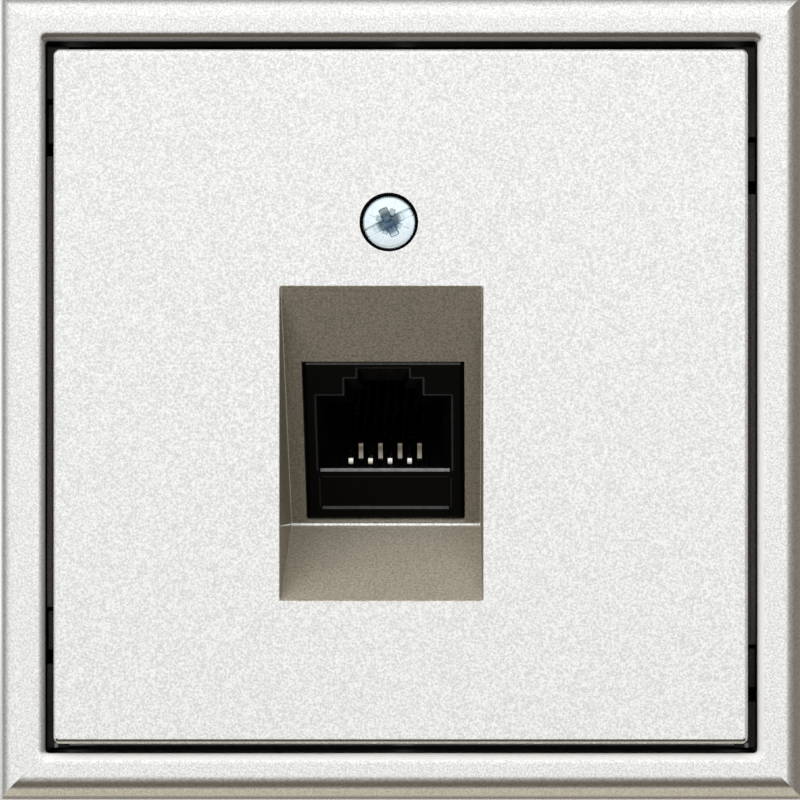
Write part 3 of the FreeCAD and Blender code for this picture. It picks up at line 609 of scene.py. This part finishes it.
# Painted highlights along the pocket's fold, at its ends and in its side corners, where the pale lacquer
# shows instead of the shaded coat.
fold_highlight = both(plate_tree, step(plate_tree, plate_y, *seam_floor),
            band(plate_tree, plate_z, seam_z, seam_half, seam_soft))
fold_end_highlight = both(plate_tree, step(plate_tree, plate_right, *side_turn, 0.0, seam_end_amount),
                band(plate_tree, plate_z, seam_z, seam_end_half, seam_end_soft), pocket)
side_lean = both(plate_tree, join(plate_tree, "ADD", plate_y, face_depth), -math.tan(pocket_draft))
side_wall = join(plate_tree, "SUBTRACT", join(plate_tree, "ADD", side_lean, pocket_half_width),
                 pocket_side)
corner_highlight = both(plate_tree, pocket, band(plate_tree, side_wall, corner_off, corner_half, corner_soft),
              corner_highlight_amount)
fold_highlight = either(plate_tree, fold_highlight, fold_end_highlight, corner_highlight)
pocket_tone = join(plate_tree, "SUBTRACT", pocket, fold_highlight)
plate_edge = either(plate_tree, step(plate_tree, plate_y, *round_depth),
                    step(plate_tree, plate_right, *round_right))
plate_edge = both(plate_tree, step(plate_tree, plate_reach, *round_reach), plate_edge)
plate_side = both(plate_tree, plate_edge, fall(plate_tree, plate_y, *side_coat))
plate_coat = either(plate_tree, fall(plate_tree, plate_y, *face_coat), pocket, plate_side)
plate_coat = both(plate_tree, plate_coat, fall(plate_tree, plate_back, *coat_turn))
# Painted shade on a line of the plate's lower round.
plate_under_shade = both(plate_tree, step(plate_tree, plate_reach, *under_start),
                   fall(plate_tree, plate_reach, *under_stop),
                   fall(plate_tree, plate_up, *under_turn))
plate_flake = grain(plate_tree, flake_width)
plate_sheen = layer(plate_tree, flakes(plate_tree, plate_flake, lip_shade_deep, lip_shade_pale),
                    flakes(plate_tree, plate_flake, lacquer_deep, lacquer_pale), plate_under_shade)
# Painted light on the pocket's side walls below the fold.
pocket_low_light = both(plate_tree, step(plate_tree, plate_right, *side_turn),
                  fall(plate_tree, plate_z, seam_z - seam_foot, seam_z))
pocket_light = either(plate_tree, step(plate_tree, plate_up, *pocket_slopes), pocket_low_light)
# The pocket's coat, darkened by painted shade and lighter as painted light where it looks up.
pocket_shaded_coat = layer(plate_tree, flakes(plate_tree, plate_flake, pocket_lit_deep, pocket_lit_pale),
                    flakes(plate_tree, plate_flake, shade_deep, shade_pale), pocket_light)
plate_colour = layer(plate_tree, pocket_shaded_coat, plate_sheen, pocket_tone)
plate_colour = layer(plate_tree, plate_colour, moulding_grey, plate_coat)
plate_tree.links.new(plate_colour, plate_shader.inputs["Base Color"])
plate_metal = both(plate_tree, plate_coat, step(plate_tree, pocket_tone, 0.0, 1.0, 1.0, pocket_metal),
                   step(plate_tree, plate_edge, 0.0, 1.0, 1.0, round_metal))
plate_tree.links.new(plate_metal, plate_shader.inputs["Metallic"])
plate_dull = either(plate_tree, step(plate_tree, pocket_tone, 0.0, 1.0, 0.0, pocket_roughness),
                    step(plate_tree, plate_coat, 0.0, 1.0, moulding_roughness, lacquer_roughness))
plate_tree.links.new(plate_dull, plate_shader.inputs["Roughness"])
relief(plate_tree, plate_shader, plate_flake, flake_relief)
dress("centre_plate", plate_lacquer, edge=0.00015)


# Plate screw: a zinc-plated steel screw with a slot and a cross recess in its domed head. The head is
# pressed, the thread rolled, and it turns into the brass thread of the carrier.
screw_low, screw_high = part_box("plate_screw")
screw_x = (screw_low[0] + screw_high[0]) / 2
screw_z = (screw_low[2] + screw_high[2]) / 2
screw_front = screw_low[1]
screw_tip = screw_high[1]
screw_radius = (screw_high[0] - screw_low[0]) / 2
head_rings, head_spokes = 72, 240
head_height = 0.0020
head_floor = 0.0002
head_dome = 0.00028
head_edge = 0.00030
head_inset = 0.00001
head_flange = ((1.0, 0.75), (1.0, 1.0), (0.5, 1.0))
slot_turn = math.radians(26.0)
slot_half = 0.00040
slot_depth = 0.00042
slot_soft = (0.00006, 0.00004)
arm_half = 0.00044
arm_reach = 0.00150
arm_depth = 0.00150
arm_cone = 1.25
arm_soft = (0.00005, 0.00005)
arm_end_soft = (0.00006, 0.00006)
rib_half = 0.00026
rib_reach = 0.00122
rib_cone = 1.15
rib_soft = (0.00004, 0.00004)
tick_half = 0.00005
tick_core = 0.4
tick_depth = 0.00005
tick_start = 0.0001
tick_end = (0.0021, 0.0023)
shank_rings, shank_spokes = 160, 40
shank_radius = 0.00145
thread_pitch = 0.0005
thread_depth = 0.00026
tip_length = 0.0009
tip_taper = 0.35
# Depths and radius of the painted shade in the cross recess.
recess_shade_depth = (0.00038, 0.0008)
recess_shade_radius = (0.0016, 0.0018)


def skin(name, rings, first, last, material):
    """Closed mesh over rings of points, rings[i, j], with a pole before the first and after the last."""
    rows, columns = rings.shape[:2]
    points = np.concatenate([[first], rings.reshape(-1, 3), [last]])
    i, j = np.meshgrid(np.arange(rows - 1), np.arange(columns), indexing="ij")
    here = 1 + i * columns + j
    beside = 1 + i * columns + (j + 1) % columns
    quads = np.stack([here, beside, beside + columns, here + columns], -1).reshape(-1, 4)
    k = np.arange(columns)
    turn = (k + 1) % columns
    base = 1 + (rows - 1) * columns
    top = np.stack([0 * k, 1 + turn, 1 + k], -1)
    bottom = np.stack([0 * k + rows * columns + 1, base + k, base + turn], -1)
    mesh = bpy.data.meshes.new(name)
    mesh.from_pydata(points.tolist(), [], quads.tolist() + top.tolist() + bottom.tolist())
    mesh.polygons.foreach_set("use_smooth", np.ones(len(mesh.polygons), dtype=bool))
    mesh.materials.append(material)
    piece = bpy.data.objects.new(name, mesh)
    bpy.context.scene.collection.objects.link(piece)
    return piece


def ease(value, low, high):
    """0 below low, 1 above high and a smooth step between: t * t * (3 - 2 * t)."""
    part = np.clip((value - low) / (high - low), 0.0, 1.0)
    return part * part * (3.0 - 2.0 * part)


def within(value, limit, before, after):
    """1 up to the limit and 0 past it, eased from just before it to just after it."""
    return 1.0 - ease(value, limit - before, limit + after)


def cone(r, radius):
    """Depth of a pointed recess: arm_depth in the middle, falling evenly to 0 at the radius."""
    return arm_depth * np.clip(1.0 - r / radius, 0.0, 1.0)


def screw_head():
    """Rings of the head: depth = dome * (r / R)^2 + rolled edge + the deepest recess at (r, t).

    Slot and arms lie within a half width of the lines turned by slot_turn; ribs and ticks lie on
    the lines between them.
    """
    r = np.linspace(0.0, 1.0, head_rings)[1:, None] * (screw_radius - head_inset)
    t = np.linspace(0.0, 2.0 * np.pi, head_spokes, endpoint=False)[None, :]
    lengthwise = r * np.cos(t - slot_turn)
    across = r * np.sin(t - slot_turn)
    slant = (lengthwise + across) / math.sqrt(2.0)
    slanted = (lengthwise - across) / math.sqrt(2.0)
    arm_near = np.minimum(np.abs(lengthwise), np.abs(across))
    rib_near = np.minimum(np.abs(slant), np.abs(slanted))
    slot = slot_depth * within(np.abs(across), slot_half, *slot_soft)
    arms = cone(r, arm_reach * arm_cone) * within(arm_near, arm_half, *arm_soft)
    arms = arms * within(r, arm_reach, *arm_end_soft)
    ribs = cone(r, rib_reach * rib_cone) * within(rib_near, rib_half, *rib_soft)
    ticks = tick_depth * (1.0 - ease(rib_near, tick_half * tick_core, tick_half))
    ticks = ticks * ease(r, rib_reach, rib_reach + tick_start) * (1.0 - ease(r, *tick_end))
    edge = np.clip((r - (screw_radius - head_edge)) / head_edge, 0.0, 1.0)
    rolled = head_edge * (1.0 - np.sqrt(1.0 - edge * edge))
    depth = head_dome * (r / screw_radius) ** 2 + rolled
    depth = depth + np.maximum.reduce([slot, arms, ribs, ticks])
    depth = np.minimum(depth, head_height - head_floor)
    face = np.stack(np.broadcast_arrays(r * np.cos(t), depth, r * np.sin(t)), -1)
    side = np.array(head_flange)
    round_x = side[:, :1] * screw_radius * np.cos(t)
    round_z = side[:, :1] * screw_radius * np.sin(t)
    flange = np.stack(np.broadcast_arrays(round_x, side[:, 1:] * head_height, round_z), -1)
    return np.concatenate([face, flange]) + (screw_x, screw_front, screw_z)


def screw_shank():
    """Rings of the thread: radius = outer - depth * (1 - |1 - 2 * frac(s / pitch - t / 2 pi)|).

    Over the last bit of its length the radius is eased down by the tip's taper.
    """
    length = screw_tip - screw_front - head_height
    s = np.linspace(0.0, 1.0, shank_rings)[:, None] * length
    t = np.linspace(0.0, 2.0 * np.pi, shank_spokes, endpoint=False)[None, :]
    wave = np.abs(1.0 - 2.0 * np.mod(s / thread_pitch - t / (2.0 * np.pi), 1.0))
    point = 1.0 - tip_taper * ease(s, length - tip_length, length)
    radius = (shank_radius - thread_depth * (1.0 - wave)) * point
    spread = np.broadcast_arrays(radius * np.cos(t), s + 0.0 * t, radius * np.sin(t))
    return np.stack(spread, -1) + (screw_x, screw_front + head_height, screw_z)


def distance(tree, first, second):
    """Square root of the sum of the two squares."""
    squares = join(tree, "ADD", both(tree, first, first), both(tree, second, second))
    return join(tree, "SQRT", squares)


head_zinc, head_tree, head_shader = finish("head_zinc", (0.80, 0.87, 0.92), roughness=0.26, metallic=1.0)
head_x, head_y, head_z, *_ = axes(head_tree)
head_radius = distance(head_tree, join(head_tree, "SUBTRACT", head_x, screw_x),
                       join(head_tree, "SUBTRACT", head_z, screw_z))
# Painted shade darkens the head's cross recess.
head_shaded = both(head_tree,
                   step(head_tree, head_y, screw_front + recess_shade_depth[0], screw_front + recess_shade_depth[1]),
                   fall(head_tree, head_radius, *recess_shade_radius))
head_grain = grain(head_tree, size=0.0004, detail=3.0)
head_recess_shade = flakes(head_tree, head_grain, deep=(0.12, 0.18, 0.24), pale=(0.33, 0.43, 0.51))
head_bright = flakes(head_tree, head_grain, deep=(0.74, 0.86, 0.93), pale=(0.88, 0.97, 1.0))
head_colour = layer(head_tree, head_recess_shade, head_bright, head_shaded)
head_tree.links.new(head_colour, head_shader.inputs["Base Color"])
gloss(head_tree, head_shader, head_grain, low=0.18, high=0.34)
head = skin("plate_screw_head", screw_head(), (screw_x, screw_front + arm_depth, screw_z),
            (screw_x, screw_front + head_height, screw_z), head_zinc)
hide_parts("plate_screw")
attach(head, "root")
shank = skin("plate_screw_shank", screw_shank(), (screw_x, screw_front + head_height, screw_z),
             (screw_x, screw_tip, screw_z), screw_zinc)
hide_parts("plate_screw")
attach(shank, "root")


# Floor, soft light and camera: a pale floor that goes over into white, broad lamps high in front on the
# left, low in front and behind, and a long lens a little right of the middle. The room, pale with a
# darker right side and a warm table, is there for the shiny pieces; the camera sees it plain.
floor_level = cad_low[2]
floor_reach = 3.0
floor_fade = (0.08, 0.5)
backdrop_white = 0.92
floor_mesh = bpy.data.meshes.new("floor")
floor_mesh.from_pydata(
    [(-floor_reach, -floor_reach, floor_level), (floor_reach, -floor_reach, floor_level),
     (floor_reach, floor_reach, floor_level), (-floor_reach, floor_reach, floor_level)],
    [], [(0, 1, 2, 3)],
)
floor = bpy.data.objects.new("floor", floor_mesh)
bpy.context.scene.collection.objects.link(floor)
floor.visible_glossy = False
floor.visible_diffuse = False
floor_paint, floor_tree, floor_shader = finish("floor_paint", (0.80, 0.78, 0.75), roughness=0.8)
floor_shader.inputs["Specular IOR Level"].default_value = 0.1


def seen(tree):
    """1 for rays from the camera or through and off shiny things, and 0 for the light that falls."""
    path = tree.nodes.new("ShaderNodeLightPath")
    return either(tree, path.outputs["Is Camera Ray"], path.outputs["Is Glossy Ray"],
                  path.outputs["Is Transmission Ray"])


floor_x, floor_y, *_ = axes(floor_tree)
floor_white = both(floor_tree, step(floor_tree, distance(floor_tree, floor_x, floor_y), *floor_fade),
                   seen(floor_tree))
floor_glow = floor_tree.nodes.new("ShaderNodeEmission")
floor_glow.inputs["Strength"].default_value = backdrop_white
floor_mix = floor_tree.nodes.new("ShaderNodeMixShader")
floor_tree.links.new(floor_white, floor_mix.inputs["Fac"])
floor_tree.links.new(floor_shader.outputs["BSDF"], floor_mix.inputs[1])
floor_tree.links.new(floor_glow.outputs["Emission"], floor_mix.inputs[2])
floor_tree.links.new(floor_mix.outputs["Shader"], floor_tree.nodes["Material Output"].inputs["Surface"])
floor_mesh.materials.append(floor_paint)


def lamp(name, width, height, glow, place):
    """Area lamp of the given brightness per unit of its face, turned towards the origin."""
    light = bpy.data.lights.new(name, "AREA")
    light.shape = "RECTANGLE"
    light.size = width
    light.size_y = height
    light.energy = glow * math.pi * width * height
    body = bpy.data.objects.new(name, light)
    bpy.context.scene.collection.objects.link(body)
    body.visible_glossy = False
    body.location = place
    body.rotation_euler = (-Vector(place)).to_track_quat("-Z", "Y").to_euler()


lamp("front_lamp", width=1.7, height=1.2, glow=1.75, place=(-0.3, -0.85, 1.0))
lamp("low_lamp", width=1.6, height=0.7, glow=2.3, place=(-0.2, -1.15, 0.32))
lamp("back_lamp", width=1.8, height=1.4, glow=2.0, place=(0.35, 1.1, 0.75))

room_fill = (0.17, 0.155, 0.13)
room_dim = (0.45, 0.43, 0.395)
table_warm = (0.57, 0.52, 0.42)
# Each pair is where a tone of the room starts and ends, as a direction's x, y or z.
front_end = (-0.40, -0.10)
far_wall, far_wall_level = (-0.4, 0.5), 0.32
far_middle, far_middle_level = (0.5, 0.9), 0.5
wall_heights, wall_levels = (-0.4, 0.7), (0.92, 1.16)
low_heights = (-0.60, -0.22)
right_x, right_y, right_side = 0.87, 0.5, (0.18, 0.88)
table_heights, table_end = (-0.45, -0.2), (0.8, 0.95)
room = bpy.data.worlds.new("room")
room.use_nodes = True
room.cycles.sampling_method = "NONE"
bpy.context.scene.world = room
room_tree = room.node_tree
room_place = room_tree.nodes.new("ShaderNodeTexCoord")
room_axes = room_tree.nodes.new("ShaderNodeSeparateXYZ")
room_tree.links.new(room_place.outputs["Generated"], room_axes.inputs[0])
room_x, room_y, room_z = room_axes.outputs
room_depth = join(room_tree, "ADD", step(room_tree, room_y, *far_wall, 1.0, far_wall_level),
                  step(room_tree, room_y, *far_middle, 0.0, far_middle_level))
room_level = both(room_tree, step(room_tree, room_z, *wall_heights, *wall_levels), room_depth)
room_low = both(room_tree, fall(room_tree, room_z, *low_heights), fall(room_tree, room_y, *front_end))
room_side = join(room_tree, "ADD", both(room_tree, room_x, right_x), both(room_tree, room_y, right_y))
room_dark = either(room_tree, room_low, step(room_tree, room_side, *right_side))
room_table = both(room_tree, step(room_tree, room_y, *front_end), fall(room_tree, room_y, *table_end),
                  fall(room_tree, room_z, *table_heights))
room_colour = layer(room_tree, room_dim, room_level, room_dark)
room_colour = layer(room_tree, table_warm, room_colour, room_table)
room_colour = layer(room_tree, room_colour, room_fill, seen(room_tree))
room_path = room_tree.nodes.new("ShaderNodeLightPath")
room_colour = layer(room_tree, (backdrop_white,) * 3, room_colour, room_path.outputs["Is Camera Ray"])
room_tree.links.new(room_colour, room_tree.nodes["Background"].inputs["Color"])

camera = bpy.data.cameras.new("camera")
camera.sensor_width = 36.0
camera.lens = 134.14
camera.shift_x = -0.11
camera.shift_y = 0.1074
camera.clip_start = 0.01
viewer = bpy.data.objects.new("camera", camera)
viewer.location = (0.0088, -0.310, -0.009)
viewer.rotation_euler = (math.pi / 2, 0.0, 0.0)
bpy.context.scene.collection.objects.link(viewer)
bpy.context.scene.camera = viewer
bpy.context.scene.view_settings.view_transform = "Standard"
